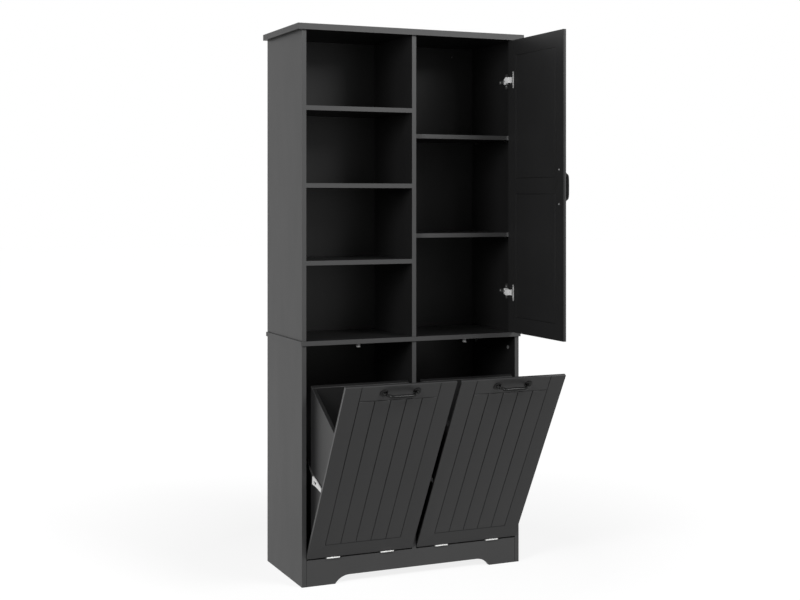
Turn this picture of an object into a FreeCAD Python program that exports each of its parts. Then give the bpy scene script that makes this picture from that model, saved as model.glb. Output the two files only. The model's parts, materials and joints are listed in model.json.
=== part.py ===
import FreeCAD, Part
import math
import os
from FreeCAD import Vector

# Tall bathroom cabinet: open shelves and a closet with a hinged door above, two tilt-out
# laundry bins below. Millimetres, X to the right, Y to the back, Z up. The origin is on the
# floor under the middle of the carcass. The doors are stored open, each at its joint's zero.

# Driving dimensions: carcass
carcass_width = 800.0
carcass_depth = 358.0
board = 15.0
base_height = 785.0
upper_height = 1015.0
middle_board_overhang = 5.0
top_board_thickness = 20.0
top_board_side_overhang = 16.0
top_board_front_overhang = 10.0
back_panel_thickness = 3.0
back_panel_recess = 27.0
groove_depth = 6.0
groove_clearance = 0.2

# Driving dimensions: plinth and feet
plinth_height = 86.0
arch_margin = 116.0
arch_height = 26.0
arch_end_run = 50.0
support_front_setback = 130.0

# Driving dimensions: shelves
left_shelf_pitch = 253.5
right_shelf_pitch = 337.0
right_shelf_setback = 20.0

# Driving dimensions: wall rail
wall_rail_height = 60.0
wall_hole_spacing = 600.0
wall_hole_radius = 2.5

# Driving dimensions: doors and their carved grooves
door_thickness = 10.0
door_side_gap = 2.0
tilt_door_side_gap = 1.0
upper_door_recess = 5.0
upper_door_end_gap = 2.5
tilt_door_top_gap = 3.0
upper_door_angle = 90.0
tilt_angle = 30.0
door_frame_width = 54.5
door_middle_rail = 55.0
plank_count = 5
front_groove_width = 3.6
front_groove_depth = 2.6
back_groove_width = 3.0
back_groove_depth = 1.1
groove_overshoot = 0.5

# Driving dimensions: pull handles
handle_centres = 112.0
handle_foot_height = 6.0
handle_crown_height = 21.0
handle_bend_run = 0.45
handle_knob_radius = 5.2
handle_end_radius = 4.2
handle_middle_radius = 6.3
handle_section_count = 21
rosette_radius = 14.5
rosette_rim = 1.6
rosette_shoulder_radius = 9.5
rosette_shoulder_height = 3.4
rosette_bulge_height = 2.9
rosette_neck_radius = 5.4
rosette_top_radius = 4.3
rosette_height = 5.6
upper_handle_edge_distance = 28.0
upper_handle_drop = 5.0
tilt_handle_edge_distance = 27.0
handle_screw_radius = 1.95
handle_screw_clearance = 0.15
handle_screw_head_radius = 3.5
handle_screw_head_height = 2.2
handle_screw_engagement = 4.6
screw_head_taper = 0.7
handle_hole_clearance = 0.05
handle_hole_tip_room = 0.4

# Driving dimensions: concealed hinges of the upper door
pole_from_side = 7.5
pole_from_front = 0.5
hinge_end_distance = 137.0
cup_edge_distance = 22.0
cup_radius = 17.5
cup_depth = 8.6
cup_wall = 1.2
cup_clearance = 0.1
cup_flange_offset = 14.0
cup_flange_width = 7.0
cup_flange_height = 56.0
cup_flange_thickness = 1.0
cup_flange_corner = 2.0
cup_screw_spacing = 45.0
cup_lug_width = 8.0
cup_lug_thickness = 2.0
hinge_plate_thickness = 5.0
hinge_plate_start = 44.0
hinge_plate_length = 62.0
hinge_plate_height = 12.0
hinge_plate_screw_from_rear = 9.0
hinge_wing_start = 52.0
hinge_wing_width = 13.0
hinge_wing_height = 52.0
hinge_wing_thickness = 2.5
hinge_wing_screw_spacing = 32.0
hinge_arm_thickness = 6.0
hinge_arm_height = 20.0
hinge_arm_front = 37.0
hinge_arm_rear = 60.0
hinge_arm_screw_from_rear = 7.0
nose_from_side = 21.0
nose_from_front = 21.0
nose_radius = 3.2
nose_height = 15.0
nose_root_radius = 3.0
link_neck_radius = 2.6
link_neck_from_nose_x = 10.0
link_neck_near_y = 11.0
link_neck_far_y = 31.0
link_tip_y = 35.0
link_cheek_thickness = 2.0
link_side_clearance = 0.3
hinge_pin_radius = 1.5
hinge_pin_clearance = 0.05

# Driving dimensions: butt hinges of the tilt doors
leaf_thickness = 1.0
leaf_gap = 1.0
leaf_width = 46.0
leaf_depth = 9.0
leaf_barrel_clearance = 0.4
knuckle_radius = 2.5
knuckle_front_clearance = 0.3
knuckle_end_gap = 0.2
knuckle_middle_length = 16.0
flap_hinge_offset = 96.0
flap_pin_radius = 1.2
flap_pin_clearance = 0.05
leaf_screw_spacing = 28.0

# Driving dimensions: small countersunk screws and pan screws
leaf_screw_head_radius = 2.4
leaf_screw_radius = 1.2
leaf_screw_length = 10.0
screw_hole_clearance = 0.05
pan_head_radius = 3.4
pan_head_height = 1.8
pan_screw_radius = 1.6
pan_screw_length = 9.0

# Driving dimensions: bins and their stops
bin_board = 12.0
bin_side_gap = 16.0
bin_rim_height = 489.0
bin_back_behind_axis = 4.8
bin_floor_clear_width = 24.0
stop_arm_inner_radius = 262.0
stop_arm_outer_radius = 269.0
stop_arm_end_inner_radius = 252.0
stop_arm_end_outer_radius = 281.0
stop_arm_end_angle = 25.0
stop_arm_end_fillet = 5.0
stop_arm_thickness = 3.0
stop_arm_window_inner_radius = 261.0
stop_arm_window_outer_radius = 269.5
stop_arm_window_start_angle = 17.0
stop_arm_window_end_angle = 21.5
hook_thickness = 2.0
hook_start = 60.0
hook_strip_height = 8.0
hook_strip_drop = 12.0
hook_lip_width = 8.0
hook_lip_rise = 6.0
hook_clearance = 0.3
stud_radius = 3.0
stud_setback = 21.0
stud_above_axis = 314.6
stud_end_clearance = 0.5
stud_shank_radius = 2.0
stud_shank_tip_wall = 0.5

# Driving dimensions: magnetic catches
catch_width = 11.0
catch_depth = 10.0
catch_height = 13.0
catch_gap = 1.0
strike_width = 26.0
strike_height = 14.0
strike_thickness = 1.0
strike_top_margin = 1.0

# Driving dimensions: shelf pins, dowels and cam locks
shelf_pin_radius = 2.5
shelf_pin_depth = 9.0
shelf_pin_reach = 9.0
shelf_pin_inset = 40.0
dowel_radius = 4.0
dowel_board_depth = 9.0
dowel_end_depth = 21.0
shelf_dowel_inset = 60.0
base_dowel_inset = 100.0
upper_dowel_inset = 75.0
cam_radius = 6.0
cam_depth = 11.0
cam_head_radius = 6.6
cam_head_height = 1.5
cam_below_board = 42.0
cam_front_inset = 50.0
cam_rear_inset = 60.0
pin_hole_clearance = 0.05

# Planes and levels worked out from the driving dimensions
half_width = carcass_width / 2
x_inner = half_width - board
bay_width = x_inner - board / 2
y_front = -carcass_depth / 2
y_back = carcass_depth / 2
y_panel_back = y_back - back_panel_recess
y_panel_front = y_panel_back - back_panel_thickness
z_bottom_top = plinth_height
z_bottom = plinth_height - board
z_base_top = base_height
z_upper_floor = z_base_top + board
z_upper_top = z_upper_floor + upper_height
z_upper_middle = (z_upper_floor + z_upper_top) / 2
bay_centres = {"left": -(board / 2 + bay_width / 2), "right": board / 2 + bay_width / 2}

# Upper door: closed place, and the point it turns about
upper_door_x0 = board / 2 + door_side_gap
upper_door_x1 = x_inner - door_side_gap
upper_door_z0 = z_upper_floor + upper_door_end_gap
upper_door_z1 = z_upper_top - upper_door_end_gap
y_upper_door_front = y_front + upper_door_recess
y_upper_door_back = y_upper_door_front + door_thickness
pole = Vector(x_inner - pole_from_side, y_front - pole_from_front, 0)
cup_x = upper_door_x1 - cup_edge_distance
cup_flange_x = cup_x - cup_flange_offset
hinge_levels = {"lower": upper_door_z0 + hinge_end_distance, "upper": upper_door_z1 - hinge_end_distance}
nose = Vector(x_inner - nose_from_side, y_front + nose_from_front, 0)

# Tilt doors: closed place, and the hinge axis along X
tilt_axis = Vector(0, y_front - knuckle_radius - knuckle_front_clearance,
                   plinth_height + leaf_thickness + leaf_gap / 2)
tilt_door_z0 = plinth_height + 2 * leaf_thickness + leaf_gap
tilt_door_z1 = z_base_top - tilt_door_top_gap
y_tilt_door_back = y_front + door_thickness
tilt_door_width = bay_width - 2 * tilt_door_side_gap
tilt_handle_z = tilt_door_z1 - tilt_handle_edge_distance

X_AXIS = Vector(1, 0, 0)
Y_AXIS = Vector(0, 1, 0)
Z_AXIS = Vector(0, 0, 1)
SAME_PLACE = 0.01

nodes = {}


def add(name, *shapes):
    """Keep one node: a single solid, or a group of separate solids."""
    nodes[name] = shapes[0] if len(shapes) == 1 else Part.makeCompound(list(shapes))


def box(x0, x1, y0, y1, z0, z1):
    return Part.makeBox(x1 - x0, y1 - y0, z1 - z0, Vector(x0, y0, z0))


def rod(radius, start, end):
    return Part.makeCylinder(radius, (end - start).Length, start, end - start)


def prism(points, sweep):
    """Closed polygon swept along a vector."""
    return Part.Face(Part.makePolygon(points + [points[0]])).extrude(sweep)


def cut_all(shape, tools):
    return shape.cut(tools) if tools else shape


def fuse_all(shapes):
    return shapes[0].multiFuse(shapes[1:]).removeSplitter()


def mirror_pair(shape, x_centre):
    """A shape and its mirror image about the plane X = x_centre."""
    return shape, shape.mirror(Vector(x_centre, 0, 0), X_AXIS)


def edges_at(shape, points):
    """Edges whose middle is at one of these points."""
    return [edge for edge in shape.Edges
            if any(edge.CenterOfMass.distanceToPoint(point) < SAME_PLACE for point in points)]


def open_upper_door(shape):
    return shape.rotated(pole, Z_AXIS, upper_door_angle)


def open_tilt(shape):
    return shape.rotated(tilt_axis, X_AXIS, tilt_angle)


# Dowels, shelf pins and cam locks

def dowel(face_point, into_board):
    """Dowel across a joint face: into_board is the unit direction into the drilled board."""
    return rod(dowel_radius, face_point - into_board * dowel_end_depth,
               face_point + into_board * dowel_board_depth)


def dowel_hole(face_point, into_board):
    return rod(dowel_radius + pin_hole_clearance,
               face_point - into_board * (dowel_end_depth + pin_hole_clearance),
               face_point + into_board * (dowel_board_depth + pin_hole_clearance))


def depth_pair(inset):
    return (y_front + inset, y_panel_front - inset)


upright_centres = (-half_width + board / 2, 0.0, half_width - board / 2)
base_dowel_seats = [(Vector(x, y, z_base_top), Z_AXIS)
                    for x in upright_centres for y in depth_pair(base_dowel_inset)]
upper_floor_seats = [(Vector(x, y, z_upper_floor), -Z_AXIS)
                     for x in upright_centres for y in depth_pair(upper_dowel_inset)]
top_dowel_seats = [(Vector(x, y, z_upper_top), Z_AXIS)
                   for x in upright_centres for y in depth_pair(upper_dowel_inset)]

left_shelf_levels = [z_upper_middle + step * left_shelf_pitch for step in (-1, 0, 1)]
right_shelf_levels = [z_upper_middle + step * right_shelf_pitch / 2 for step in (-1, 1)]
shelf_dowel_seats = []
for level in left_shelf_levels:
    for y in depth_pair(shelf_dowel_inset):
        shelf_dowel_seats.append((Vector(-x_inner, y, level), -X_AXIS))
        shelf_dowel_seats.append((Vector(-board / 2, y, level), X_AXIS))

dowel_seats = base_dowel_seats + upper_floor_seats + top_dowel_seats + shelf_dowel_seats
dowel_holes = [dowel_hole(point, into) for point, into in dowel_seats]
add("dowels", *[dowel(point, into) for point, into in dowel_seats])


def shelf_pin(x_face, into, y, level, extra):
    z = level - board / 2 - shelf_pin_radius
    start = Vector(x_face - into * shelf_pin_reach, y, z)
    end = Vector(x_face + into * (shelf_pin_depth + extra), y, z)
    return rod(shelf_pin_radius + extra, start, end)


shelf_pin_depths = (y_front + right_shelf_setback + shelf_pin_inset, y_panel_front - shelf_pin_inset)
shelf_pin_seats = [(x_face, into, y, level)
                   for level in right_shelf_levels
                   for y in shelf_pin_depths
                   for x_face, into in ((board / 2, -1), (x_inner, 1))]
shelf_pin_holes = [shelf_pin(*seat, pin_hole_clearance) for seat in shelf_pin_seats]
add("shelf_pins", *[shelf_pin(*seat, 0.0) for seat in shelf_pin_seats])

cam_level = z_base_top - cam_below_board
cam_seats = [(x_face, into, y)
             for x_face, into in ((-x_inner, -1), (board / 2, -1), (x_inner, 1))
             for y in (y_front + cam_front_inset, y_back - cam_rear_inset)]


def cam_lock(x_face, into, y):
    face = Vector(x_face, y, cam_level)
    body = rod(cam_radius, face, face + X_AXIS * into * cam_depth)
    head = rod(cam_head_radius, face - X_AXIS * into * cam_head_height, face)
    return body.fuse(head).removeSplitter()


def cam_hole(x_face, into, y):
    face = Vector(x_face, y, cam_level)
    end = face + X_AXIS * into * (cam_depth + pin_hole_clearance)
    return rod(cam_radius + pin_hole_clearance, face, end)


cam_holes = [cam_hole(*seat) for seat in cam_seats]
add("cam_locks", *[cam_lock(*seat) for seat in cam_seats])

# Pan head screws, with their pilot holes

def pan_screw(seat, into):
    """Screw whose head sits on the point seat; into is the unit direction of the shank."""
    shank = rod(pan_screw_radius, seat, seat + into * pan_screw_length)
    head = Part.makeCone(pan_head_radius, pan_head_radius * screw_head_taper, pan_head_height, seat, -into)
    return shank.fuse(head).removeSplitter()


def pan_hole(seat, into):
    end = seat + into * (pan_screw_length + screw_hole_clearance)
    return rod(pan_screw_radius + screw_hole_clearance, seat, end)


# Concealed hinges: mounting plate, arm and nose pin on the right side, cup in the door

def hinge_plate(z):
    x1 = x_inner
    bar = box(x1 - hinge_plate_thickness, x1, y_front + hinge_plate_start,
              y_front + hinge_plate_start + hinge_plate_length,
              z - hinge_plate_height / 2, z + hinge_plate_height / 2)
    wings = box(x1 - hinge_wing_thickness, x1, y_front + hinge_wing_start,
                y_front + hinge_wing_start + hinge_wing_width,
                z - hinge_wing_height / 2, z + hinge_wing_height / 2)
    return bar.fuse(wings).removeSplitter()


def wing_screw_seats(z):
    y = y_front + hinge_wing_start + hinge_wing_width / 2
    x = x_inner - hinge_wing_thickness
    return [Vector(x, y, z + side * hinge_wing_screw_spacing / 2) for side in (-1, 1)]


def arm_screw_seat(z):
    x = x_inner - hinge_plate_thickness - hinge_arm_thickness
    return Vector(x, y_front + hinge_arm_rear - hinge_arm_screw_from_rear, z)


def plate_screw_seat(z):
    y = y_front + hinge_plate_start + hinge_plate_length - hinge_plate_screw_from_rear
    return Vector(x_inner - hinge_plate_thickness, y, z)


def flat_bar(start, start_radius, end, end_radius, z0, z1):
    """Bar in plan with round ends of two radii, between heights z0 and z1."""
    along = (end - start).normalize()
    across = Vector(-along.y, along.x, 0)
    corners = [start + across * start_radius, start - across * start_radius,
               end - across * end_radius, end + across * end_radius]
    rise = Z_AXIS * (z1 - z0)
    web = prism([corner + Z_AXIS * z0 for corner in corners], rise)
    ends = [Part.makeCylinder(radius, z1 - z0, point + Z_AXIS * z0)
            for point, radius in ((start, start_radius), (end, end_radius))]
    return fuse_all([web] + ends)


def hinge_arm(z):
    x1 = x_inner - hinge_plate_thickness
    body = box(x1 - hinge_arm_thickness, x1, y_front + hinge_arm_front, y_front + hinge_arm_rear,
               z - hinge_arm_height / 2, z + hinge_arm_height / 2)
    root = Vector(x1 - hinge_arm_thickness / 2, y_front + hinge_arm_front + nose_root_radius, 0)
    crank = flat_bar(nose, nose_radius, root, nose_root_radius, z - nose_height / 2, z + nose_height / 2)
    eye = Part.makeCylinder(hinge_pin_radius + hinge_pin_clearance, nose_height,
                            nose + Z_AXIS * (z - nose_height / 2))
    return fuse_all([body, crank]).cut(eye)


link_half_height = nose_height / 2 + link_side_clearance + link_cheek_thickness
link_tip = nose - Y_AXIS * link_tip_y
to_closed = FreeCAD.Rotation(Z_AXIS, -upper_door_angle)


def hinge_pin(z):
    return Part.makeCylinder(hinge_pin_radius, 2 * link_half_height, nose + Z_AXIS * (z - link_half_height))


def hinge_link(z):
    """Goose-neck link from the nose pin round the door's edge into the mouth of the cup."""
    near = nose + Vector(-link_neck_from_nose_x, -link_neck_near_y, 0)
    far = nose + Vector(-link_neck_from_nose_x, -link_neck_far_y, 0)
    pieces = []
    for side in (-1, 1):
        outer = z + side * link_half_height
        inner = z + side * (nose_height / 2 + link_side_clearance)
        z0 = min(outer, inner)
        z1 = max(outer, inner)
        pieces.append(flat_bar(nose, nose_radius, near, link_neck_radius, z0, z1))
    for start, end in ((near, far), (far, link_tip)):
        pieces.append(flat_bar(start, link_neck_radius, end, link_neck_radius,
                               z - link_half_height, z + link_half_height))
    to_bottom = Z_AXIS * (z - link_half_height)
    eye = Part.makeCylinder(hinge_pin_radius + hinge_pin_clearance, 2 * link_half_height, nose + to_bottom)
    return fuse_all(pieces).cut(eye)


def cup_lug(z, side):
    """Lug in the cup beside the link's tip, placed in the closed door."""
    x = (pole + to_closed.multVec(link_tip - pole)).x
    near = z + side * (link_half_height + link_side_clearance)
    far = near + side * cup_lug_thickness
    return box(x - cup_lug_width / 2, x + cup_lug_width / 2,
               y_upper_door_back - cup_depth + cup_wall / 2, y_upper_door_back,
               min(near, far), max(near, far))


def hinge_cup(z):
    """Cup in the closed door's back face."""
    mouth = Vector(cup_x, y_upper_door_back, z)
    cup = Part.makeCylinder(cup_radius, cup_depth, mouth, -Y_AXIS)
    hollow = Part.makeCylinder(cup_radius - cup_wall, cup_depth - cup_wall, mouth, -Y_AXIS)
    return fuse_all([cup.cut(hollow)] + [cup_lug(z, side) for side in (-1, 1)])


def hinge_flange(z):
    """Strip across the cup's outer rim, screwed to the closed door's back face."""
    half_width_x = cup_flange_width / 2
    half_height_z = cup_flange_height / 2
    strip = box(cup_flange_x - half_width_x, cup_flange_x + half_width_x,
                y_upper_door_back, y_upper_door_back + cup_flange_thickness,
                z - half_height_z, z + half_height_z)
    corners = [Vector(cup_flange_x + x_side * half_width_x, y_upper_door_back + cup_flange_thickness / 2,
                      z + z_side * half_height_z) for x_side in (-1, 1) for z_side in (-1, 1)]
    return strip.makeFillet(cup_flange_corner, edges_at(strip, corners))


def cup_bore(z):
    mouth = Vector(cup_x, y_upper_door_back, z)
    return Part.makeCylinder(cup_radius + cup_clearance, cup_depth + cup_clearance, mouth, -Y_AXIS)


def cup_screw_seats(z):
    y = y_upper_door_back + cup_flange_thickness
    return [Vector(cup_flange_x, y, z + side * cup_screw_spacing / 2) for side in (-1, 1)]


hinge_z = list(hinge_levels.values())
side_screws = [(seat, X_AXIS) for z in hinge_z
               for seat in wing_screw_seats(z) + [arm_screw_seat(z), plate_screw_seat(z)]]
side_screw_holes = [pan_hole(seat, into) for seat, into in side_screws]
cup_screws = [(seat, -Y_AXIS) for z in hinge_z for seat in cup_screw_seats(z)]
cup_screw_holes = [pan_hole(seat, into) for seat, into in cup_screws]

add("hinge_plates", *[cut_all(hinge_plate(z), side_screw_holes) for z in hinge_z])
add("hinge_arms", *[cut_all(hinge_arm(z), side_screw_holes) for z in hinge_z])
add("hinge_pins", *[hinge_pin(z) for z in hinge_z])
add("hinge_cups", *[open_upper_door(hinge_cup(z)) for z in hinge_z])
add("hinge_flanges", *[open_upper_door(cut_all(hinge_flange(z), cup_screw_holes)) for z in hinge_z])
for level_name, z in hinge_levels.items():
    add(level_name + "_hinge_link", hinge_link(z))

# Stop studs on the sides and the divider

stud_y = y_front + stud_setback
stud_z = tilt_axis.z + stud_above_axis
stud_reach = bin_side_gap - stud_end_clearance
stud_seats = [(-x_inner, -1), (-board / 2, 1), (board / 2, -1), (x_inner, 1)]
stud_shank_length = board / 2 - stud_shank_tip_wall


def stop_stud(x_face, into):
    face = Vector(x_face, stud_y, stud_z)
    peg = rod(stud_radius, face - X_AXIS * into * stud_reach, face)
    shank = rod(stud_shank_radius, face, face + X_AXIS * into * stud_shank_length)
    return peg.fuse(shank).removeSplitter()


def stud_hole(x_face, into):
    face = Vector(x_face, stud_y, stud_z)
    return rod(stud_shank_radius + pin_hole_clearance, face, face + X_AXIS * into * stud_shank_length)


stud_holes = [stud_hole(*seat) for seat in stud_seats]
add("stop_studs", *[stop_stud(*seat) for seat in stud_seats])

# Butt hinges of the tilt doors: fixed leaf on the plinth, moving leaf under the door

flap_hinge_centres = {side: [centre - flap_hinge_offset, centre + flap_hinge_offset]
                      for side, centre in bay_centres.items()}
leaf_y0 = y_front + leaf_barrel_clearance - knuckle_front_clearance
leaf_y1 = leaf_y0 + leaf_depth


def knuckle(x0, x1):
    start = Vector(x0, tilt_axis.y, tilt_axis.z)
    return rod(knuckle_radius, start, start + X_AXIS * (x1 - x0))


def tongue(x0, x1, z0):
    return box(x0, x1, tilt_axis.y, leaf_y0, z0, z0 + leaf_thickness)


def pin_bore(x_centre):
    start = Vector(x_centre - leaf_width / 2, tilt_axis.y, tilt_axis.z)
    return rod(flap_pin_radius + flap_pin_clearance, start, start + X_AXIS * leaf_width)


def fixed_leaf(x_centre):
    z0 = plinth_height
    half = leaf_width / 2
    inner = knuckle_middle_length / 2 + knuckle_end_gap
    pieces = [box(x_centre - half, x_centre + half, leaf_y0, leaf_y1, z0, z0 + leaf_thickness)]
    for x0, x1 in ((x_centre - half, x_centre - inner), (x_centre + inner, x_centre + half)):
        pieces.append(tongue(x0, x1, z0))
        pieces.append(knuckle(x0, x1))
    return fuse_all(pieces).cut(pin_bore(x_centre))


def moving_leaf(x_centre):
    """Leaf under the closed door's bottom edge."""
    z0 = tilt_door_z0 - leaf_thickness
    half = leaf_width / 2
    middle = knuckle_middle_length / 2
    plate = box(x_centre - half, x_centre + half, leaf_y0, leaf_y1, z0, z0 + leaf_thickness)
    x0 = x_centre - middle
    x1 = x_centre + middle
    return fuse_all([plate, tongue(x0, x1, z0), knuckle(x0, x1)]).cut(pin_bore(x_centre))


def flap_pin(x_centre):
    start = Vector(x_centre - leaf_width / 2, tilt_axis.y, tilt_axis.z)
    return rod(flap_pin_radius, start, start + X_AXIS * leaf_width)


def leaf_screw(seat, into, clearance):
    """Countersunk screw flush with a leaf; seat is on the leaf's outer face."""
    head = Part.makeCone(leaf_screw_head_radius + clearance, leaf_screw_radius + clearance,
                         leaf_thickness, seat, into)
    shank = rod(leaf_screw_radius + clearance, seat, seat + into * (leaf_screw_length + clearance))
    return head.fuse(shank).removeSplitter()


def leaf_screw_seats(x_centre, z):
    y = (leaf_y0 + leaf_y1) / 2
    return [Vector(x_centre + side * leaf_screw_spacing / 2, y, z) for side in (-1, 1)]


all_flap_centres = flap_hinge_centres["left"] + flap_hinge_centres["right"]
fixed_leaf_seats = [(seat, -Z_AXIS) for x in all_flap_centres
                    for seat in leaf_screw_seats(x, plinth_height + leaf_thickness)]
fixed_leaf_holes = [leaf_screw(seat, into, screw_hole_clearance) for seat, into in fixed_leaf_seats]
add("flap_hinge_fixed_leaves", *[cut_all(fixed_leaf(x), fixed_leaf_holes) for x in all_flap_centres])
add("flap_hinge_pins", *[flap_pin(x) for x in all_flap_centres])
add("carcass_screws",
    *[pan_screw(seat, into) for seat, into in side_screws],
    *[leaf_screw(seat, into, 0.0) for seat, into in fixed_leaf_seats])

# Carcass boards

back_groove_y0 = y_panel_front - groove_clearance / 2
back_groove_y1 = y_panel_back + groove_clearance / 2


def back_groove(side, z0, z1):
    face = side * x_inner
    deep = side * (x_inner + groove_depth + groove_clearance / 2)
    return box(min(face, deep), max(face, deep), back_groove_y0, back_groove_y1, z0, z1)


def side_board(side, z0, z1, holes):
    outer = side * half_width
    inner = side * x_inner
    shape = box(min(outer, inner), max(outer, inner), y_front, y_back, z0, z1)
    return cut_all(shape, [back_groove(side, max(z0, z_bottom_top), z1)] + holes)


def wall_hole(x):
    return rod(wall_hole_radius, Vector(x, y_front, z_upper_top - wall_rail_height / 2),
               Vector(x, y_back, z_upper_top - wall_rail_height / 2))


wall_holes = [wall_hole(side * wall_hole_spacing / 2) for side in (-1, 1)]

add("base_left_side", side_board(-1, 0, z_base_top, dowel_holes + cam_holes + stud_holes))
add("base_right_side", side_board(1, 0, z_base_top, dowel_holes + cam_holes + stud_holes))
add("upper_left_side", side_board(-1, z_upper_floor, z_upper_top, dowel_holes))
add("upper_right_side",
    side_board(1, z_upper_floor, z_upper_top, dowel_holes + shelf_pin_holes + side_screw_holes))

base_divider = box(-board / 2, board / 2, y_front, y_panel_front, z_bottom_top, z_base_top)
add("base_divider", cut_all(base_divider, dowel_holes + cam_holes + stud_holes))
upper_divider = box(-board / 2, board / 2, y_front, y_panel_front, z_upper_floor, z_upper_top)
add("upper_divider", cut_all(upper_divider, dowel_holes + shelf_pin_holes))

panel_edge = x_inner + groove_depth
upper_back = box(-panel_edge, panel_edge, y_panel_front, y_panel_back, z_upper_floor, z_upper_top)
add("upper_back_panel", cut_all(upper_back, wall_holes))
add("base_back_panel", box(-panel_edge, panel_edge, y_panel_front, y_panel_back, z_bottom_top, z_base_top))

middle_board = box(-half_width - middle_board_overhang, half_width + middle_board_overhang,
                   y_front - middle_board_overhang, y_back, z_base_top, z_upper_floor)
add("middle_board", cut_all(middle_board, dowel_holes))
top_board = box(-half_width - top_board_side_overhang, half_width + top_board_side_overhang,
                y_front - top_board_front_overhang, y_back, z_upper_top, z_upper_top + top_board_thickness)
add("top_board", cut_all(top_board, dowel_holes))

for name, level in zip(("lower", "middle", "upper"), left_shelf_levels):
    shelf = box(-x_inner, -board / 2, y_front, y_panel_front, level - board / 2, level + board / 2)
    add("left_shelf_" + name, cut_all(shelf, dowel_holes))
for name, level in zip(("lower", "upper"), right_shelf_levels):
    add("right_shelf_" + name, box(board / 2, x_inner, y_front + right_shelf_setback, y_panel_front,
                                   level - board / 2, level + board / 2))

wall_rail = box(-x_inner, x_inner, y_panel_back, y_panel_back + board,
                z_upper_top - wall_rail_height, z_upper_top)
add("wall_rail", cut_all(wall_rail, wall_holes))

# Base bottom, plinth with its arch, rear plinth and centre support

add("base_bottom", box(-x_inner, x_inner, y_front + board, y_back, z_bottom, z_bottom_top))
add("rear_plinth", box(-x_inner, x_inner, y_back - board, y_back, 0, z_bottom))
add("centre_support",
    box(-board / 2, board / 2, y_front + support_front_setback, y_panel_front, 0, z_bottom))


def plinth_arch():
    """Cut-out under the plinth: flat top, with an arc at each end that meets it smoothly."""
    foot = half_width - arch_margin
    shoulder = foot - arch_end_run
    radius = (arch_end_run ** 2 + arch_height ** 2) / (2 * arch_height)
    half_turn = math.asin(arch_end_run / radius) / 2
    bulge_x = shoulder + radius * math.sin(half_turn)
    bulge_z = arch_height - radius * (1 - math.cos(half_turn))

    def point(x, z):
        return Vector(x, y_front, z)

    edges = [
        Part.LineSegment(point(-foot, 0), point(foot, 0)).toShape(),
        Part.Arc(point(foot, 0), point(bulge_x, bulge_z), point(shoulder, arch_height)).toShape(),
        Part.LineSegment(point(shoulder, arch_height), point(-shoulder, arch_height)).toShape(),
        Part.Arc(point(-shoulder, arch_height), point(-bulge_x, bulge_z), point(-foot, 0)).toShape(),
    ]
    return Part.Face(Part.Wire(edges)).extrude(Y_AXIS * board)


plinth = box(-x_inner, x_inner, y_front, y_front + board, 0, plinth_height)
add("plinth", cut_all(plinth, [plinth_arch()] + fixed_leaf_holes))

# Carved grooves of the doors

def groove_profile(width, depth):
    """Half width at the overshoot level, outside the face, of a V with this width and depth."""
    return width / 2 * (1 + groove_overshoot / depth)


def upright_groove(x, z0, z1, y_face, inward, width, depth):
    half = groove_profile(width, depth)
    y_out = y_face - inward * groove_overshoot
    y_in = y_face + inward * depth
    points = [Vector(x - half, y_out, z0), Vector(x + half, y_out, z0), Vector(x, y_in, z0)]
    return prism(points, Z_AXIS * (z1 - z0))


def level_groove(z, x0, x1, y_face, inward, width, depth):
    half = groove_profile(width, depth)
    y_out = y_face - inward * groove_overshoot
    y_in = y_face + inward * depth
    points = [Vector(x0, y_out, z - half), Vector(x0, y_out, z + half), Vector(x0, y_in, z)]
    return prism(points, X_AXIS * (x1 - x0))


def panel_grooves(x0, x1, z0, z1, y_face, inward, width, depth, planks):
    """Outline of one carved panel, and the joints between its planks."""
    pitch = (x1 - x0) / planks
    uprights = [upright_groove(x0 + i * pitch, z0, z1, y_face, inward, width, depth)
                for i in range(planks + 1)]
    levels = [level_groove(z, x0, x1, y_face, inward, width, depth) for z in (z0, z1)]
    return uprights + levels


# Pull handle: two round feet with knobs, and a bowed bar that swells towards its middle

def handle_bar():
    """Bar along X, standing off the face Y = 0 towards -Y, centred on the origin."""
    half = handle_centres / 2
    rise = handle_crown_height - handle_foot_height
    wires = []
    for i in range(handle_section_count):
        share = 2 * i / (handle_section_count - 1) - 1
        climbed = min(1.0, (1 - abs(share)) / handle_bend_run)
        arch = climbed ** 2 * (3 - 2 * climbed)
        slope = rise * 6 * climbed * (1 - climbed) / handle_bend_run
        along = Vector(half, math.copysign(slope, share), 0)
        radius = handle_end_radius + (handle_middle_radius - handle_end_radius) * (1 - share ** 2)
        middle = Vector(share * half, -handle_foot_height - rise * arch, 0)
        circle = Part.Circle(middle, along, radius)
        wires.append(Part.Wire(circle.toShape()))
    return Part.makeLoft(wires, True)


def rosette(x):
    """Round stepped foot on the face Y = 0."""
    rim = Vector(x + rosette_radius, -rosette_rim, 0)
    dome_mid = Vector(x + (rosette_radius + rosette_shoulder_radius) / 2, -rosette_bulge_height, 0)
    shoulder = Vector(x + rosette_shoulder_radius, -rosette_shoulder_height, 0)
    straight = [shoulder,
                Vector(x + rosette_neck_radius, -rosette_shoulder_height, 0),
                Vector(x + rosette_top_radius, -rosette_height, 0),
                Vector(x, -rosette_height, 0),
                Vector(x, 0, 0),
                Vector(x + rosette_radius, 0, 0),
                rim]
    edges = [Part.LineSegment(start, end).toShape() for start, end in zip(straight, straight[1:])]
    edges.append(Part.Arc(rim, dome_mid, shoulder).toShape())
    return Part.Face(Part.Wire(edges)).revolve(Vector(x, 0, 0), Y_AXIS, 360)


def handle_knob(x):
    """Ball on a foot, where the bar ends."""
    return Part.makeSphere(handle_knob_radius, Vector(x, -handle_foot_height, 0))


def handle_hole(x):
    depth = handle_screw_engagement + handle_hole_tip_room
    return rod(handle_screw_radius + handle_hole_clearance, Vector(x, 0, 0), Vector(x, -depth, 0))


handle_feet = (-handle_centres / 2, handle_centres / 2)


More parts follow.
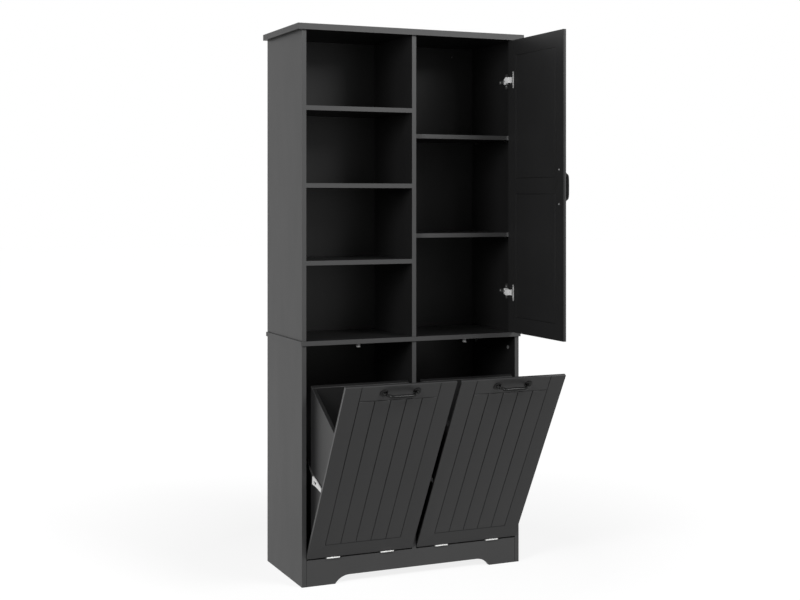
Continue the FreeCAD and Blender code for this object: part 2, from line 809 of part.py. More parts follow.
def pull_handle():
    feet = [make(x) for make in (rosette, handle_knob) for x in handle_feet]
    shape = fuse_all([handle_bar()] + feet)
    return cut_all(shape, [handle_hole(x) for x in handle_feet])


def handle_screw(x):
    """Screw from the door's back face into one foot of the handle."""
    shank = rod(handle_screw_radius, Vector(x, door_thickness, 0), Vector(x, -handle_screw_engagement, 0))
    head = Part.makeCone(handle_screw_head_radius, handle_screw_head_radius * screw_head_taper,
                         handle_screw_head_height, Vector(x, door_thickness, 0), Y_AXIS)
    return shank.fuse(head).removeSplitter()


def handle_door_hole(x):
    return rod(handle_screw_radius + handle_screw_clearance, Vector(x, 0, 0), Vector(x, door_thickness, 0))


def place_level(shape, centre):
    return shape.translated(centre)


def place_upright(shape, centre):
    return shape.rotated(Vector(0, 0, 0), Y_AXIS, 90).translated(centre)


# Upper door with its handle

upper_handle_centre = Vector(upper_door_x0 + upper_handle_edge_distance, y_upper_door_front,
                             (upper_door_z0 + upper_door_z1) / 2 - upper_handle_drop)


def upper_door_panels():
    """The two carved panels, as X and Z limits."""
    x0 = upper_door_x0 + door_frame_width
    x1 = upper_door_x1 - door_frame_width
    middle = (upper_door_z0 + upper_door_z1) / 2
    return [(x0, x1, upper_door_z0 + door_frame_width, middle - door_middle_rail / 2),
            (x0, x1, middle + door_middle_rail / 2, upper_door_z1 - door_frame_width)]


upper_door = box(upper_door_x0, upper_door_x1, y_upper_door_front, y_upper_door_back,
                 upper_door_z0, upper_door_z1)
upper_door_cuts = [cup_bore(z) for z in hinge_z] + cup_screw_holes
for limits in upper_door_panels():
    upper_door_cuts += panel_grooves(*limits, y_upper_door_front, 1, front_groove_width, front_groove_depth,
                                     plank_count)
    upper_door_cuts += panel_grooves(*limits, y_upper_door_back, -1, back_groove_width, back_groove_depth, 1)
upper_door_cuts += [place_upright(handle_door_hole(x), upper_handle_centre) for x in handle_feet]
add("upper_door_panel", open_upper_door(cut_all(upper_door, upper_door_cuts)))
add("upper_door_handle", open_upper_door(place_upright(pull_handle(), upper_handle_centre)))
add("upper_door_screws",
    *[open_upper_door(place_upright(handle_screw(x), upper_handle_centre)) for x in handle_feet],
    *[open_upper_door(pan_screw(seat, into)) for seat, into in cup_screws])

# Magnetic catches under the middle board

catch_y0 = y_tilt_door_back + strike_thickness + catch_gap


def magnetic_catch(x_centre):
    return box(x_centre - catch_width / 2, x_centre + catch_width / 2, catch_y0, catch_y0 + catch_depth,
               z_base_top - catch_height, z_base_top)


add("magnetic_catches", *[magnetic_catch(x) for x in bay_centres.values()])

# Tilt-out bins, modelled closed and then opened. Places on a bin are given behind the hinge
# axis and above it, in the closed door's own directions.

turn = math.radians(tilt_angle)
door_back_behind = y_tilt_door_back - tilt_axis.y


def bin_point(x, behind, above):
    return Vector(x, tilt_axis.y + behind, tilt_axis.z + above)


def back_line(behind_when_open, above):
    """How far behind the axis a plane of the bin's back lies, at this height, with the door closed."""
    return behind_when_open / math.cos(turn) + above * math.tan(turn)


def back_line_height(behind_when_open, behind):
    return (behind - behind_when_open / math.cos(turn)) / math.tan(turn)


bin_inner_offset = bin_back_behind_axis - bin_board
bin_floor_top = back_line_height(bin_inner_offset, door_back_behind + bin_floor_clear_width)
bin_floor_bottom = bin_floor_top - bin_board


def bin_side(x0):
    """Wedge-shaped side, level along its rim when closed."""
    foot = back_line_height(bin_inner_offset, door_back_behind)
    points = [bin_point(x0, door_back_behind, foot), bin_point(x0, door_back_behind, bin_rim_height),
              bin_point(x0, back_line(bin_inner_offset, bin_rim_height), bin_rim_height)]
    return prism(points, X_AXIS * bin_board)


def bin_back(x0, x1):
    points = [bin_point(x0, door_back_behind, back_line_height(bin_back_behind_axis, door_back_behind)),
              bin_point(x0, door_back_behind, back_line_height(bin_inner_offset, door_back_behind)),
              bin_point(x0, back_line(bin_inner_offset, bin_rim_height), bin_rim_height),
              bin_point(x0, back_line(bin_back_behind_axis, bin_rim_height), bin_rim_height)]
    return prism(points, X_AXIS * (x1 - x0))


def bin_floor(x0, x1):
    points = [bin_point(x0, door_back_behind, bin_floor_bottom),
              bin_point(x0, door_back_behind, bin_floor_top),
              bin_point(x0, back_line(bin_inner_offset, bin_floor_top), bin_floor_top),
              bin_point(x0, back_line(bin_inner_offset, bin_floor_bottom), bin_floor_bottom)]
    return prism(points, X_AXIS * (x1 - x0))


def polar_point(x, radius, angle):
    """Point on a bin at this angle behind the door's plane, seen from the hinge axis."""
    return bin_point(x, radius * math.sin(angle), radius * math.cos(angle))


def stop_arm(x0):
    """Arm curved about the hinge axis, from the door's back along the bin's side."""
    end = math.radians(stop_arm_end_angle)
    outer_start = math.asin(door_back_behind / stop_arm_outer_radius)
    inner_start = math.asin(door_back_behind / stop_arm_inner_radius)
    outer_mid_radius = (stop_arm_outer_radius + stop_arm_end_outer_radius) / 2
    inner_mid_radius = (stop_arm_inner_radius + stop_arm_end_inner_radius) / 2
    outer_mid = polar_point(x0, outer_mid_radius, (outer_start + end) / 2)
    inner_mid = polar_point(x0, inner_mid_radius, (inner_start + end) / 2)
    p_outer = polar_point(x0, stop_arm_outer_radius, outer_start)
    p_inner = polar_point(x0, stop_arm_inner_radius, inner_start)
    p_outer_end = polar_point(x0, stop_arm_end_outer_radius, end)
    p_inner_end = polar_point(x0, stop_arm_end_inner_radius, end)
    edges = [
        Part.Arc(p_outer, outer_mid, p_outer_end).toShape(),
        Part.LineSegment(p_outer_end, p_inner_end).toShape(),
        Part.Arc(p_inner_end, inner_mid, p_inner).toShape(),
        Part.LineSegment(p_inner, p_outer).toShape(),
    ]
    shape = Part.Face(Part.Wire(edges)).extrude(X_AXIS * stop_arm_thickness)
    corners = [point + X_AXIS * stop_arm_thickness / 2 for point in (p_outer_end, p_inner_end)]
    shape = shape.makeFillet(stop_arm_end_fillet, edges_at(shape, corners))
    window_start = math.radians(stop_arm_window_start_angle)
    window_end = math.radians(stop_arm_window_end_angle)
    window = prism([polar_point(x0, stop_arm_window_inner_radius, window_start),
                    polar_point(x0, stop_arm_window_outer_radius, window_start),
                    polar_point(x0, stop_arm_window_outer_radius, window_end),
                    polar_point(x0, stop_arm_window_inner_radius, window_end)],
                   X_AXIS * stop_arm_thickness)
    return shape.cut(window)


# Stud's place as the open bin sees it, behind and above the axis
stud_from_axis = stud_y - tilt_axis.y
stud_behind = stud_from_axis * math.cos(turn) + stud_above_axis * math.sin(turn)
stud_above = stud_above_axis * math.cos(turn) - stud_from_axis * math.sin(turn)


def stop_hook(x0):
    """Steel hook along the bin's side, whose lip meets the stud when the bin is fully out."""
    strip_bottom = stud_above - hook_strip_drop
    strip_top = strip_bottom + hook_strip_height
    lip_front = stud_behind + stud_radius + hook_clearance
    lip_back = lip_front + hook_lip_width
    lip_top = stud_above + hook_lip_rise
    points = [bin_point(x0, hook_start, strip_bottom), bin_point(x0, lip_back, strip_bottom),
              bin_point(x0, lip_back, lip_top), bin_point(x0, lip_front, lip_top),
              bin_point(x0, lip_front, strip_top), bin_point(x0, hook_start, strip_top)]
    return prism(points, X_AXIS * hook_thickness)


def strike_plate(x_centre):
    z1 = tilt_door_z1 - strike_top_margin
    return box(x_centre - strike_width / 2, x_centre + strike_width / 2,
               y_tilt_door_back, y_tilt_door_back + strike_thickness, z1 - strike_height, z1)


def tilt_unit(side, centre):
    """All pieces of one tilt-out bin."""
    half = tilt_door_width / 2
    bin_half = bay_width / 2 - bin_side_gap
    x0 = centre - bin_half
    handle_centre = Vector(centre, y_front, tilt_handle_z)
    leaf_seats = [(seat, Z_AXIS) for x in flap_hinge_centres[side]
                  for seat in leaf_screw_seats(x, tilt_door_z0 - leaf_thickness)]
    leaf_holes = [leaf_screw(seat, into, screw_hole_clearance) for seat, into in leaf_seats]

    door = box(centre - half, centre + half, y_front, y_tilt_door_back, tilt_door_z0, tilt_door_z1)
    panel_x0 = centre - half + door_frame_width
    panel_x1 = centre + half - door_frame_width
    panel_z1 = tilt_door_z1 - door_frame_width
    cuts = panel_grooves(panel_x0, panel_x1, tilt_door_z0 + door_frame_width, panel_z1,
                         y_front, 1, front_groove_width, front_groove_depth, plank_count)
    # The stiles' joints run on to the door's top edge
    cuts += [upright_groove(x, panel_z1, tilt_door_z1, y_front, 1, front_groove_width, front_groove_depth)
             for x in (panel_x0, panel_x1)]
    cuts += [place_level(handle_door_hole(x), handle_centre) for x in handle_feet]
    add(side + "_tilt_door", open_tilt(cut_all(door, cuts + leaf_holes)))
    add(side + "_tilt_handle", open_tilt(place_level(pull_handle(), handle_centre)))
    add(side + "_tilt_screws",
        *[open_tilt(place_level(handle_screw(x), handle_centre)) for x in handle_feet],
        *[open_tilt(leaf_screw(seat, into, 0.0)) for seat, into in leaf_seats])
    add(side + "_tilt_hinge_leaves",
        *[open_tilt(cut_all(moving_leaf(x), leaf_holes)) for x in flap_hinge_centres[side]])
    add(side + "_strike_plate", open_tilt(strike_plate(centre)))

    left_wall, right_wall = mirror_pair(bin_side(x0), centre)
    add(side + "_bin_left_wall", open_tilt(left_wall))
    add(side + "_bin_right_wall", open_tilt(right_wall))
    add(side + "_bin_back", open_tilt(bin_back(x0, centre + bin_half)))
    add(side + "_bin_floor", open_tilt(bin_floor(x0 + bin_board, centre + bin_half - bin_board)))
    arms = mirror_pair(stop_arm(x0 - hook_thickness - stop_arm_thickness), centre)
    add(side + "_stop_arms", *[open_tilt(arm) for arm in arms])
    hooks = mirror_pair(stop_hook(x0 - hook_thickness), centre)
    add(side + "_stop_hooks", *[open_tilt(hook) for hook in hooks])


for side, centre in bay_centres.items():
    tilt_unit(side, centre)

os.makedirs("parts", exist_ok=True)
for name, shape in nodes.items():
    shape.exportStep("parts/" + name + ".step")
print(len(nodes), "nodes,", sum(len(shape.Solids) for shape in nodes.values()), "solids")
for name, shape in nodes.items():
    if not shape.isValid():
        print("not valid:", name)
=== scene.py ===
import json
import math

import bpy
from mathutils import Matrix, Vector

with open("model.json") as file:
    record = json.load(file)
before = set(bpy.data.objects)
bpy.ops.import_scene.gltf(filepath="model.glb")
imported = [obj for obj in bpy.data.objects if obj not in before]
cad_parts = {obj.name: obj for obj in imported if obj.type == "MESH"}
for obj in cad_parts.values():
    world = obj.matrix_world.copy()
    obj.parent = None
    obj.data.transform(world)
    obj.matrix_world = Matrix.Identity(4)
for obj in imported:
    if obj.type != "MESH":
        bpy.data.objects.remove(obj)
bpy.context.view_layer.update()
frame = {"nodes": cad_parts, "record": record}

# Tall bathroom cabinet: finishes, edge rounding, floor, light and camera. Metres, in the part's frame.

nodes = frame["nodes"]
bodies = frame["record"]["behaviour"]["bodies"]
node_body = {node: body for body, members in bodies.items() for node in members}
scene = bpy.context.scene
scene.view_settings.view_transform = "Standard"

# Colours, linear
WHITE = (1, 1, 1, 1)
LAMINATE_DARK = (0.0104, 0.0104, 0.0106, 1)
LAMINATE_LIGHT = (0.0128, 0.0128, 0.0130, 1)
DOOR_BACK_DARK = (0.0155, 0.0155, 0.0158, 1)
DOOR_BACK_LIGHT = (0.0185, 0.0185, 0.0188, 1)
# Painted shade down the doors' grooves, in their front half and in their back half
FRONT_GROOVE_SHADE = (0.04, 0.04, 0.0405, 1)
BACK_GROOVE_SHADE = (0.003, 0.003, 0.003, 1)
# Edge bands on front-facing faces, with painted front light: far paler than the laminate
BAND_AND_FRONT_LIGHT_DARK = (0.075, 0.075, 0.0755, 1)
BAND_AND_FRONT_LIGHT_PALE = (0.086, 0.086, 0.0865, 1)
# Door paint on the fronts, also painted paler to stand in for the light on the fronts
PAINT_AND_FRONT_LIGHT_DARK = (0.056, 0.056, 0.0565, 1)
PAINT_AND_FRONT_LIGHT_PALE = (0.063, 0.063, 0.0635, 1)
# Rounded corners: painted edge highlight, rubbed paler in patches
CORNER_PAINTED_HIGHLIGHT = (0.035, 0.035, 0.0355, 1)
CORNER_RUBBED_HIGHLIGHT = (0.075, 0.075, 0.0755, 1)
# Painted shade in the joints at a board's ends
JOINT_SHADE = (0.005, 0.005, 0.005, 1)
HANDLE_DARK = (0.004, 0.004, 0.004, 1)
HANDLE_LIGHT = (0.008, 0.008, 0.008, 1)
BLACKENED_DARK = (0.03, 0.03, 0.03, 1)
BLACKENED_LIGHT = (0.07, 0.07, 0.07, 1)
NICKEL_DARK = (0.74, 0.74, 0.73, 1)
NICKEL_LIGHT = (0.88, 0.88, 0.87, 1)
# Hinge nickel coloured white, a painted reflection of the white backdrop
REFLECTION_WHITE_DARK = (0.86, 0.86, 0.86, 1)
REFLECTION_WHITE_LIGHT = (0.95, 0.95, 0.95, 1)
DULL_DARK = (0.2, 0.2, 0.2, 1)
DULL_LIGHT = (0.28, 0.28, 0.28, 1)
ZINC_DARK = (0.5, 0.5, 0.51, 1)
ZINC_LIGHT = (0.66, 0.66, 0.66, 1)
PLASTIC_DARK = (0.88, 0.88, 0.87, 1)
PLASTIC_LIGHT = (0.94, 0.94, 0.93, 1)
BEECH_DARK = (0.42, 0.27, 0.14, 1)
BEECH_LIGHT = (0.66, 0.48, 0.3, 1)

# Gloss and grain
BOARD_SPECULAR = 0.25
BOARD_GRAIN_SCALE = 1100.0
BOARD_GRAIN_DEPTH = 0.00012
DOOR_GRAIN_SCALE = 900.0
DOOR_GRAIN_DEPTH = 0.0001
PAINT_GLOSS_SPREAD = 0.06
PLATING_GLOSS_SPREAD = 0.08

# Most values of a noise lie between these
NOISE_LOW = 0.3
NOISE_HIGH = 0.7

# Stretch of a pattern along the axes
EVEN = (1, 1, 1)
WIPED_UPRIGHT = (1, 1, 0.25)
ROLLED_UPRIGHT = (1, 1, 0.1)
GRAIN_ALONG_X = (1, 6, 6)

# A normal's Y where an edge band and the painted front light on it start, and where they are full
BAND_START = -0.9
BAND_FULL = -0.98

# How squarely a face looks out of a door: a groove's wall up to the first value, its floor from the second,
# where painted shade covers it
GROOVE_WALL = 0.2
GROOVE_FLOOR = 0.4

# Rounding of the doors and of boards without holes. On a door it is held to about 0.02 mm by the limit on
# overlaps, which still softens the shading of the grooves
BOARD_ROUNDING = 0.0008
DOOR_ROUNDING = 0.001
ROUNDING_SEGMENTS = 2
SHARP_ANGLE = math.radians(60)
WELD_DISTANCE = 1e-6
OWN_FACES = -1
CORNER_SLOT = 1

# Down a door's grooves, between these depths, its paint on the front and its laminate on the back give way
# to painted shade; over the second depth the paint also fades into the laminate at mid-thickness
PAINT_FULL = 0.0002
PAINT_END = 0.0009

# Painted shade in the joint at each end of a board that stands flush between two others
JOINT_WIDTH = 0.0016
JOINT_FADE = 0.0002

# Sockets of a colour mix
MIX_FIRST = 6
MIX_SECOND = 7
MIX_RESULT = 2


# Node helpers

def new_material(name):
    material = bpy.data.materials.new(name)
    material.use_nodes = True
    tree = material.node_tree
    return material, tree, tree.nodes["Principled BSDF"]


def set_input(tree, socket, value):
    """Links a socket to another one, or sets its value."""
    if isinstance(value, bpy.types.NodeSocket):
        tree.links.new(value, socket)
    else:
        socket.default_value = value


def add_node(tree, kind, inputs=(), **settings):
    """A node with its settings, and its inputs set or linked by name."""
    node = tree.nodes.new(kind)
    for key, value in settings.items():
        setattr(node, key, value)
    for key, value in dict(inputs).items():
        set_input(tree, node.inputs[key], value)
    return node


def calculate(tree, operation, *values):
    node = add_node(tree, "ShaderNodeMath", dict(enumerate(values)), operation=operation)
    return node.outputs[0]


def dot_product(tree, first, second):
    node = add_node(tree, "ShaderNodeVectorMath", {0: first, 1: second}, operation="DOT_PRODUCT")
    return node.outputs["Value"]


def coordinates(tree, kind):
    """Coordinates or normal in the piece's own frame."""
    return add_node(tree, "ShaderNodeTexCoord").outputs[kind]


def one_axis(tree, vector, axis):
    return add_node(tree, "ShaderNodeSeparateXYZ", {"Vector": vector}).outputs[axis]


def place(tree, stretch=EVEN):
    """Coordinates fixed to the piece, stretched along the axes."""
    where = coordinates(tree, "Object")
    return add_node(tree, "ShaderNodeMapping", {"Vector": where, "Scale": stretch}).outputs["Vector"]


def noise(tree, where, scale, detail=2.0, rough=0.5):
    inputs = {"Vector": where, "Scale": scale, "Detail": detail, "Roughness": rough}
    return add_node(tree, "ShaderNodeTexNoise", inputs).outputs["Fac"]


def spread(tree, value, low=NOISE_LOW, high=NOISE_HIGH, to_low=0.0, to_high=1.0):
    inputs = {"Value": value, "From Min": low, "From Max": high, "To Min": to_low, "To Max": to_high}
    return add_node(tree, "ShaderNodeMapRange", inputs).outputs["Result"]


def mix_colours(tree, factor, first, second):
    inputs = {"Factor": factor, MIX_FIRST: first, MIX_SECOND: second}
    return add_node(tree, "ShaderNodeMix", inputs, data_type="RGBA").outputs[MIX_RESULT]


def bump(tree, height, depth, strength):
    inputs = {"Height": height, "Distance": depth, "Strength": strength}
    return add_node(tree, "ShaderNodeBump", inputs).outputs["Normal"]


def dress(tree, shader, colour, roughness, normal):
    set_input(tree, shader.inputs["Base Color"], colour)
    set_input(tree, shader.inputs["Roughness"], roughness)
    set_input(tree, shader.inputs["Normal"], normal)


# Materials

def facing_front(tree):
    """1 where a piece faces the front squarely at rest, as the boards' edge bands do; these faces get the
    band and painted front light.
    """
    return spread(tree, one_axis(tree, coordinates(tree, "Normal"), "Y"), BAND_START, BAND_FULL)


def end_joint_shade(tree, half_length):
    """1 in the painted shade of the joints at both ends of a board that lies along X."""
    away = calculate(tree, "ABSOLUTE", one_axis(tree, coordinates(tree, "Object"), "X"))
    start = half_length - JOINT_WIDTH
    return spread(tree, away, start, start + JOINT_FADE)


def paint_door(tree, tone, front):
    """Colour of a door: paint on its front half, painted paler for the front light, laminate on its back,
    and painted shade down the grooves.

    The front plane lies at reach along direction, and the door is thickness thick.
    """
    direction, reach, thickness = front
    depth = dot_product(tree, coordinates(tree, "Object"), direction)
    facing = calculate(tree, "ABSOLUTE", dot_product(tree, coordinates(tree, "Normal"), direction))
    # Front paint, with painted front light
    paint = mix_colours(tree, tone, PAINT_AND_FRONT_LIGHT_DARK, PAINT_AND_FRONT_LIGHT_PALE)
    back = mix_colours(tree, tone, DOOR_BACK_DARK, DOOR_BACK_LIGHT)
    middle = reach - thickness / 2
    front_half = spread(tree, depth, middle - PAINT_END, middle)
    faces = mix_colours(tree, front_half, back, paint)
    # Painted shade for the grooves' floors
    grooves = mix_colours(tree, front_half, BACK_GROOVE_SHADE, FRONT_GROOVE_SHADE)
    below_front = spread(tree, depth, reach - PAINT_FULL, reach - PAINT_END)
    above_back = spread(tree, depth, reach - thickness + PAINT_FULL, reach - thickness + PAINT_END)
    below = calculate(tree, "MULTIPLY", below_front, above_back)
    # Painted shade where a face lies below both door faces and looks squarely out
    groove_shade_mask = calculate(tree, "MULTIPLY", below, spread(tree, facing, GROOVE_WALL, GROOVE_FLOOR))
    return mix_colours(tree, groove_shade_mask, faces, grooves)


def board_material(name, grain_scale=BOARD_GRAIN_SCALE, grain_depth=BOARD_GRAIN_DEPTH,
                   banded=False, front=None, half_length=None):
    """Satin black board: embossed pearl grain, cloudy tone and wiped gloss.

    Carcass boards have paler bands on their front edges, painted paler still for the front light, and doors
    a painted front, likewise paler for it. With a half length, the joints at the board's ends get painted
    shade.
    """
    material, tree, shader = new_material(name)
    where = place(tree)
    clouds = noise(tree, where, scale=3.0, detail=4.0)
    pearl = noise(tree, where, scale=grain_scale, detail=3.0, rough=0.6)
    wiped = noise(tree, place(tree, WIPED_UPRIGHT), scale=14.0, detail=4.0, rough=0.6)
    tone = spread(tree, clouds)
    if front is None:
        colour = mix_colours(tree, tone, LAMINATE_DARK, LAMINATE_LIGHT)
    else:
        colour = paint_door(tree, tone, front)
    # Front-facing faces get the edge band and painted front light
    if banded:
        band = mix_colours(tree, tone, BAND_AND_FRONT_LIGHT_DARK, BAND_AND_FRONT_LIGHT_PALE)
        colour = mix_colours(tree, facing_front(tree), colour, band)
    if half_length is not None:
        # Painted shade in the joints at the board's ends
        colour = mix_colours(tree, end_joint_shade(tree, half_length), colour, JOINT_SHADE)
    roughness = spread(tree, wiped, to_low=0.385, to_high=0.415)
    dress(tree, shader, colour, roughness, bump(tree, pearl, grain_depth, strength=0.35))
    shader.inputs["Specular IOR Level"].default_value = BOARD_SPECULAR
    return material


def corner_material(name):
    """Rounded corner of a board, painted paler as an edge highlight and rubbed paler still in patches."""
    material, tree, shader = new_material(name)
    where = place(tree)
    patches = noise(tree, where, scale=22.0, detail=5.0, rough=0.65)
    grain = noise(tree, where, scale=700.0)
    colour = mix_colours(tree, spread(tree, patches, low=0.52, high=0.72), CORNER_PAINTED_HIGHLIGHT, CORNER_RUBBED_HIGHLIGHT)
    roughness = spread(tree, patches, to_low=0.42, to_high=0.34)
    dress(tree, shader, colour, roughness, bump(tree, grain, depth=0.0001, strength=0.3))
    shader.inputs["Specular IOR Level"].default_value = BOARD_SPECULAR
    return material


def painted_metal_material(name, dark, light, gloss, specular):
    """Black paint over metal, with a fine orange peel and wear in patches."""
    material, tree, shader = new_material(name)
    where = place(tree)
    peel = noise(tree, where, scale=450.0)
    wear = noise(tree, where, scale=60.0, detail=5.0, rough=0.65)
    colour = mix_colours(tree, spread(tree, wear, low=0.35), dark, light)
    roughness = spread(tree, wear, to_low=gloss - PAINT_GLOSS_SPREAD, to_high=gloss + PAINT_GLOSS_SPREAD)
    dress(tree, shader, colour, roughness, bump(tree, peel, depth=0.0002, strength=0.25))
    shader.inputs["Specular IOR Level"].default_value = specular
    return material


def plated_material(name, dark, light, gloss, metallic, stretch=ROLLED_UPRIGHT):
    """Plated or cast metal: clouded tone, and fine lines or grains that vary its gloss."""
    material, tree, shader = new_material(name)
    lines = noise(tree, place(tree, stretch), scale=400.0, detail=3.0)
    clouds = noise(tree, place(tree), scale=80.0, detail=3.0)
    colour = mix_colours(tree, spread(tree, clouds), dark, light)
    roughness = spread(tree, lines, to_low=gloss - PLATING_GLOSS_SPREAD,
                       to_high=gloss + PLATING_GLOSS_SPREAD)
    dress(tree, shader, colour, roughness, bump(tree, lines, depth=0.0001, strength=0.2))
    shader.inputs["Metallic"].default_value = metallic
    return material


def plastic_material(name, dark, light):
    """White moulded plastic with a fine spark-eroded texture."""
    material, tree, shader = new_material(name)
    where = place(tree)
    sparks = noise(tree, where, scale=900.0, detail=3.0)
    clouds = noise(tree, where, scale=30.0, detail=3.0)
    colour = mix_colours(tree, spread(tree, clouds), dark, light)
    roughness = spread(tree, clouds, to_low=0.36, to_high=0.48)
    dress(tree, shader, colour, roughness, bump(tree, sparks, depth=0.0001, strength=0.3))
    return material


def beech_material(name):
    """Plain beech with fine flecks along the grain."""
    material, tree, shader = new_material(name)
    grain = noise(tree, place(tree, GRAIN_ALONG_X), scale=120.0, detail=4.0)
    colour = mix_colours(tree, spread(tree, grain, low=0.35, high=0.65), BEECH_DARK, BEECH_LIGHT)
    roughness = spread(tree, grain, to_low=0.55, to_high=0.7)
    dress(tree, shader, colour, roughness, bump(tree, grain, depth=0.0002, strength=0.4))
    return material


finishes = {
    "black_board": board_material("laminate"),
    "handle_black": painted_metal_material("handle_paint", HANDLE_DARK, HANDLE_LIGHT,
                                           gloss=0.2, specular=0.18),
    "steel": plated_material("nickel", NICKEL_DARK, NICKEL_LIGHT, gloss=0.42, metallic=0.35),
    "dark_steel": painted_metal_material("blackened", BLACKENED_DARK, BLACKENED_LIGHT,
                                         gloss=0.4, specular=0.5),
    "zinc": plated_material("die_cast", ZINC_DARK, ZINC_LIGHT, gloss=0.42, metallic=0.7, stretch=EVEN),
    "white_plastic": plastic_material("white_moulding", PLASTIC_DARK, PLASTIC_LIGHT),
    "beech": beech_material("dowel_beech"),
}
# Non-metallic white for nickel parts: a painted reflection of the backdrop
nickel_painted_reflection = plated_material("nickel_painted_reflection", REFLECTION_WHITE_DARK, REFLECTION_WHITE_LIGHT, gloss=0.35, metallic=0.0)
dull_nickel = plated_material("dull_nickel", DULL_DARK, DULL_LIGHT, gloss=0.45, metallic=0.3)
board_band_and_front_light = board_material("laminate_band_and_front_light", banded=True)
rubbed_corner_painted_highlight = corner_material("rubbed_corner_painted_highlight")

# Every node takes the finish of its slot. Boards without holes also get rounded corners, painted paler as an
# edge highlight and rubbed paler in patches

TILT = math.radians(30)
TILT_FRONT = Vector((0, -math.cos(TILT), -math.sin(TILT)))
DOOR_FRONTS = {"upper_door_panel": Vector((1, 0, 0)),
               "left_tilt_door": TILT_FRONT,
               "right_tilt_door": TILT_FRONT}
PLAIN_BOARDS = ("upper_back_panel", "base_back_panel", "wall_rail")
ROUNDED_ENDINGS = ("base_bottom", "centre_support", "rear_plinth", "right_shelf_lower",
                   "right_shelf_upper", "bin_back", "bin_floor", "bin_left_wall", "bin_right_wall")
# Nickel parts that get the painted white reflection
PAINTED_REFLECTION_NODES = ("hinge_arms", "upper_hinge_link", "lower_hinge_link", "hinge_pins")
DULL_NODES = ("carcass_screws", "upper_door_screws")


def round_edges(piece, width, corner_slot):
    weld = piece.modifiers.new("weld", "WELD")
    weld.merge_threshold = WELD_DISTANCE
    rounding = piece.modifiers.new("rounding", "BEVEL")
    rounding.width = width
    rounding.segments = ROUNDING_SEGMENTS
    rounding.limit_method = "ANGLE"
    rounding.angle_limit = SHARP_ANGLE
    rounding.harden_normals = False
    rounding.material = corner_slot
    shading = piece.modifiers.new("shading", "WEIGHTED_NORMAL")
    shading.keep_sharp = False


def finish_door(name, piece):
    direction = DOOR_FRONTS[name]
    depths = [direction.dot(corner.co) for corner in piece.data.vertices]
    reach = max(depths)
    front = (direction, reach, reach - min(depths))
    paint = board_material(name + "_paint", DOOR_GRAIN_SCALE, DOOR_GRAIN_DEPTH, front=front)
    piece.data.materials.append(paint)
    round_edges(piece, DOOR_ROUNDING, OWN_FACES)


def finish_board(name, piece):
    if node_body[name] != "cabinet" or name in PLAIN_BOARDS:
        laminate = finishes["black_board"]
    elif name == "plinth":
        half_length = max(corner.co.x for corner in piece.data.vertices)
        laminate = board_material("plinth_laminate", banded=True, half_length=half_length)
    else:
        laminate = board_band_and_front_light
    piece.data.materials.append(laminate)
    if name.endswith(ROUNDED_ENDINGS):
        piece.data.materials.append(rubbed_corner_painted_highlight)
        round_edges(piece, BOARD_ROUNDING, CORNER_SLOT)


for name, piece in nodes.items():
    slot_name = piece.data.materials[0].name.split(".")[0]
    piece.data.materials.clear()
    if name in DOOR_FRONTS:
        finish_door(name, piece)
    elif slot_name == "black_board":
        finish_board(name, piece)
    elif name in PAINTED_REFLECTION_NODES:
        piece.data.materials.append(nickel_painted_reflection)
    elif name in DULL_NODES:
        piece.data.materials.append(dull_nickel)
    else:
        piece.data.materials.append(finishes[slot_name])

# Floor: white where it is seen, with the object's soft shadow

FLOOR_HALF = 30.0
FLOOR_COLOUR = (0.25, 0.25, 0.25, 1)
FLOOR_ROUGHNESS = 0.9
FLOOR_SPECULAR = 0.0
FLOOR_GLOW_NEAR = 0.84
FLOOR_GLOW_FAR = 1.0
FLOOR_NEAR = 0.7
FLOOR_FAR = 2.2


def seen_ray(tree):
    """1 for rays that show a surface, directly or in gloss or glass, and 0 for those that light one."""
    path = add_node(tree, "ShaderNodeLightPath")
    value = path.outputs["Is Camera Ray"]
    for other in ("Is Glossy Ray", "Is Transmission Ray"):
        value = calculate(tree, "MAXIMUM", value, path.outputs[other])
    return value


def make_floor():
    mesh = bpy.data.meshes.new("floor")
    corners = [(-FLOOR_HALF, -FLOOR_HALF, 0), (FLOOR_HALF, -FLOOR_HALF, 0),
               (FLOOR_HALF, FLOOR_HALF, 0), (-FLOOR_HALF, FLOOR_HALF, 0)]
    mesh.from_pydata(corners, [], [(0, 1, 2, 3)])
    floor = bpy.data.objects.new("floor", mesh)
    scene.collection.objects.link(floor)
    material, tree, shader = new_material("floor")
    shader.inputs["Base Color"].default_value = FLOOR_COLOUR
    shader.inputs["Roughness"].default_value = FLOOR_ROUGHNESS
    shader.inputs["Specular IOR Level"].default_value = FLOOR_SPECULAR
    shader.inputs["Emission Color"].default_value = WHITE
    where = coordinates(tree, "Object")
    distance = add_node(tree, "ShaderNodeVectorMath", {0: where}, operation="LENGTH").outputs["Value"]
    level = spread(tree, distance, FLOOR_NEAR, FLOOR_FAR, FLOOR_GLOW_NEAR, FLOOR_GLOW_FAR)
    glow = calculate(tree, "MULTIPLY", seen_ray(tree), level)
    tree.links.new(glow, shader.inputs["Emission Strength"])
    mesh.materials.append(material)


make_floor()

# World: white where it is seen, directly or in a reflection, and dim as a light

AMBIENT = 0.01
BACKDROP = 1.0


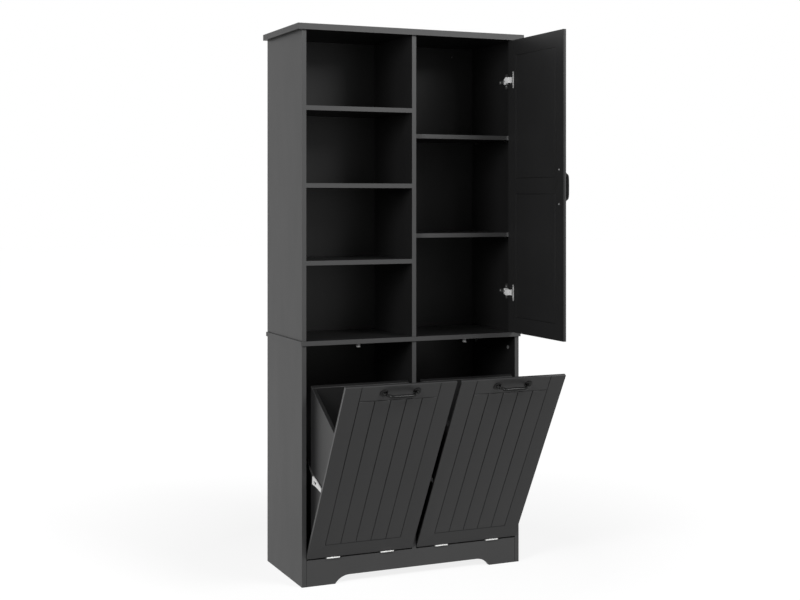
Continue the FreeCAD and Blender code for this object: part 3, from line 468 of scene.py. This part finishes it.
def make_world():
    world = bpy.data.worlds.new("studio")
    scene.world = world
    world.use_nodes = True
    tree = world.node_tree
    tree.nodes.clear()
    dim = add_node(tree, "ShaderNodeBackground", {"Color": WHITE, "Strength": AMBIENT})
    white = add_node(tree, "ShaderNodeBackground", {"Color": WHITE, "Strength": BACKDROP})
    both = add_node(tree, "ShaderNodeMixShader", {0: seen_ray(tree), 1: dim.outputs[0], 2: white.outputs[0]})
    add_node(tree, "ShaderNodeOutputWorld", {"Surface": both.outputs[0]})


make_world()

# Lamps: azimuth is from the front, positive to the right seen from the front

LAMP_AIM = Vector((0, -0.1, 0.9))
LAMP_DISTANCE = 4.0
LAMP_SIZE = 1.6


def area_lamp(name, azimuth, elevation, power):
    data = bpy.data.lights.new(name, "AREA")
    data.shape = "SQUARE"
    data.size = LAMP_SIZE
    data.energy = power
    lamp = bpy.data.objects.new(name, data)
    scene.collection.objects.link(lamp)
    turn = math.radians(azimuth)
    rise = math.radians(elevation)
    away = Vector((math.sin(turn) * math.cos(rise), -math.cos(turn) * math.cos(rise), math.sin(rise)))
    lamp.location = LAMP_AIM + away * LAMP_DISTANCE
    lamp.rotation_mode = "QUATERNION"
    lamp.rotation_quaternion = (-away).to_track_quat("-Z", "Y")


area_lamp("key", azimuth=30, elevation=35, power=80)
area_lamp("fill", azimuth=-60, elevation=20, power=92)
area_lamp("side", azimuth=-90, elevation=10, power=20)

# Camera: level, with the frame shifted down as the photograph's is

CAMERA_PLACE = (-1.8742, -4.3223, 1.264)
CAMERA_LEVEL = math.radians(90)
CAMERA_TURN = math.radians(-23.74)
CAMERA_LENS = 60.76
CAMERA_SENSOR = 36.0
CAMERA_SHIFT_Y = -0.1265


def make_camera():
    data = bpy.data.cameras.new("camera")
    data.sensor_width = CAMERA_SENSOR
    data.lens = CAMERA_LENS
    data.shift_y = CAMERA_SHIFT_Y
    camera = bpy.data.objects.new("camera", data)
    scene.collection.objects.link(camera)
    camera.location = CAMERA_PLACE
    camera.rotation_euler = (CAMERA_LEVEL, 0, CAMERA_TURN)
    scene.camera = camera


make_camera()
